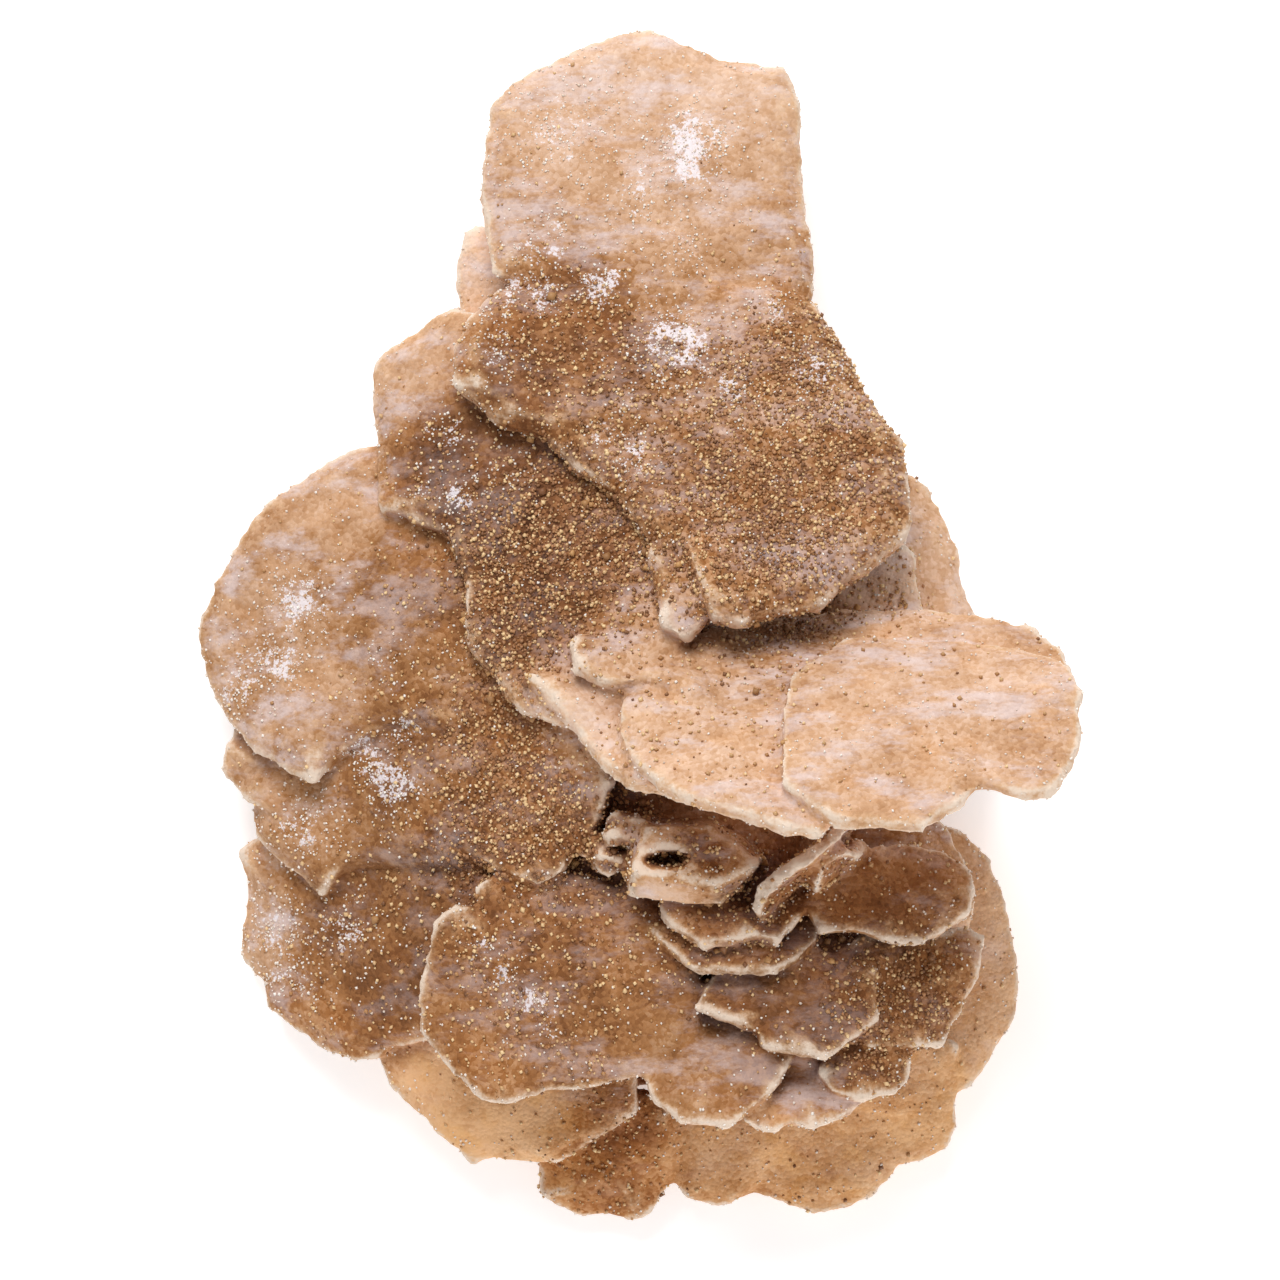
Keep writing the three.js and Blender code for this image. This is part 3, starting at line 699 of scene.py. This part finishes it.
def with_rim_wear_and_painted_light(n, patchy, fine, colour):
    """Rims with a painted glow on their inner side, for light shining through them, and a pale outermost
    band that is partly wear and partly painted edge light, both only where the rims lie open to the light.
    """
    open_to_light = n.between(n.attribute("hollow"), *OPEN_RIM_STEP)
    rim_wear_and_light = n.swing(n.attribute("rim"), patchy, RIM_PATCH_SWING)
    rim_wear_and_light = n.swing(rim_wear_and_light, fine, RIM_FINE_SWING)
    for step, tint in ((PAINTED_GLOW_STEP, PAINTED_GLOW_COLOUR), (RIM_WEAR_AND_LIGHT_STEP, RIM_WEAR_AND_LIGHT_COLOUR)):
        colour = n.mix(n.math("MULTIPLY", n.between(rim_wear_and_light, *step), open_to_light), colour, tint)
    return colour


def with_dust(n, patchy, fine, colour):
    """White dust in ragged flecks."""
    flecks = n.swing(n.attribute("dust"), fine, DUST_FINE_SWING)
    flecks = n.swing(flecks, patchy, DUST_PATCH_SWING)
    return n.mix(n.between(flecks, *DUST_STEP), colour, DUST_COLOUR)


def skin_material():
    n = Nodes("sandy_gypsum")
    place = n.place()
    patchy = n.noise(place, *PATCH_NOISE)
    fine = n.noise(place, *FINE_NOISE)
    cell_grey, cell_middle = n.cells(place, CELL_SIZE)
    colour = sandy_ground(n, place, patchy, cell_grey)
    colour = with_amber_stain_and_glow(n, place, colour)
    colour = with_haze(n, place, colour)
    colour = with_painted_hollow_shade(n, colour)
    colour = with_rim_wear_and_painted_light(n, patchy, fine, colour)
    colour = with_dust(n, patchy, fine, colour)
    bump = n.bump(n.math("SUBTRACT", 1.0, cell_middle), *CELL_BUMP)
    bump = n.bump(fine, *FINE_BUMP, bump)
    roughness = n.between(cell_grey, *ROUGHNESS_STEP)
    return n.finish(Base_Color=colour, Normal=bump, Roughness=roughness, Specular_IOR_Level=SKIN_SPECULAR)


# Darkest and lightest colour of each kind of grain, and its roughness
GRAIN_FINISHES = {
    "golden_grains": (srgb(174, 122, 72), srgb(242, 208, 156), 0.35),
    "brown_grains": (srgb(122, 79, 46), srgb(186, 134, 90), 0.55),
    "pale_grains": (srgb(222, 200, 180), srgb(252, 246, 238), 0.45),
    "coarse_grains": (srgb(126, 80, 46), srgb(206, 156, 98), 0.60),
}


def grain_material(name, dull, bright, roughness):
    n = Nodes(name)
    colour = n.mix(n.attribute("tint"), dull, bright)
    return n.finish(Base_Color=colour, Roughness=roughness, IOR=GRAIN_IOR)


# Floor, light and camera

WHITE = (1.0, 1.0, 1.0, 1.0)


def make_floor():
    corners = np.array([[-1, -1], [1, -1], [1, 1], [-1, 1]]) * FLOOR_SIZE / 2
    mesh = bpy.data.meshes.new("floor")
    mesh.from_pydata([(x, y, -FLOOR_DROP) for x, y in corners], [], [(0, 1, 2, 3)])
    floor = new_object("floor", mesh)
    n = Nodes("pale_floor")
    glow = {"Emission_Color": WHITE, "Emission_Strength": FLOOR_GLOW}
    mesh.materials.append(n.finish(Base_Color=srgb(250, 249, 250), Roughness=0.9, **glow))


def make_light(name, place, size, power):
    light = bpy.data.lights.new(name, "AREA")
    light.size = size
    light.energy = power
    lamp = bpy.data.objects.new(name, light)
    lamp.location = place
    lamp.rotation_euler = (-Vector(place)).to_track_quat("-Z", "Y").to_euler()
    bpy.context.collection.objects.link(lamp)


def make_world():
    world = bpy.data.worlds.new("soft_sky")
    world.use_nodes = True
    background = world.node_tree.nodes["Background"]
    background.inputs["Color"].default_value = WHITE
    background.inputs["Strength"].default_value = SKY_STRENGTH
    bpy.context.scene.world = world


def make_camera():
    data = bpy.data.cameras.new("camera")
    data.lens = CAMERA_LENS
    data.sensor_width = CAMERA_SENSOR
    camera = bpy.data.objects.new("camera", data)
    x, y, z = CAMERA_AIM
    camera.location = (x, y, z + CAMERA_DISTANCE)
    bpy.context.collection.objects.link(camera)
    bpy.context.scene.camera = camera


# The scene

make_camera()
make_floor()
make_world()
for lamp_name, lamp in LAMPS.items():
    make_light(lamp_name, **lamp)
bpy.context.scene.view_settings.view_transform = "Standard"

skin = make_skin()
marks = mark_skin(skin)
skin.data.materials.append(skin_material())
skin.data.polygons.foreach_set("use_smooth", np.ones(len(skin.data.polygons), dtype=bool))
skin.data.set_sharp_from_angle(angle=CREASE_ANGLE)
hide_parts(NODE)
pieces = [skin]
for name, density in grain_densities(marks).items():
    grains = scatter_grains(name, skin, density, **GRAIN_KINDS[name])
    grains.data.materials.append(grain_material(name, *GRAIN_FINISHES[name]))
    pieces.append(grains)
for piece in pieces:
    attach(piece, BODY)
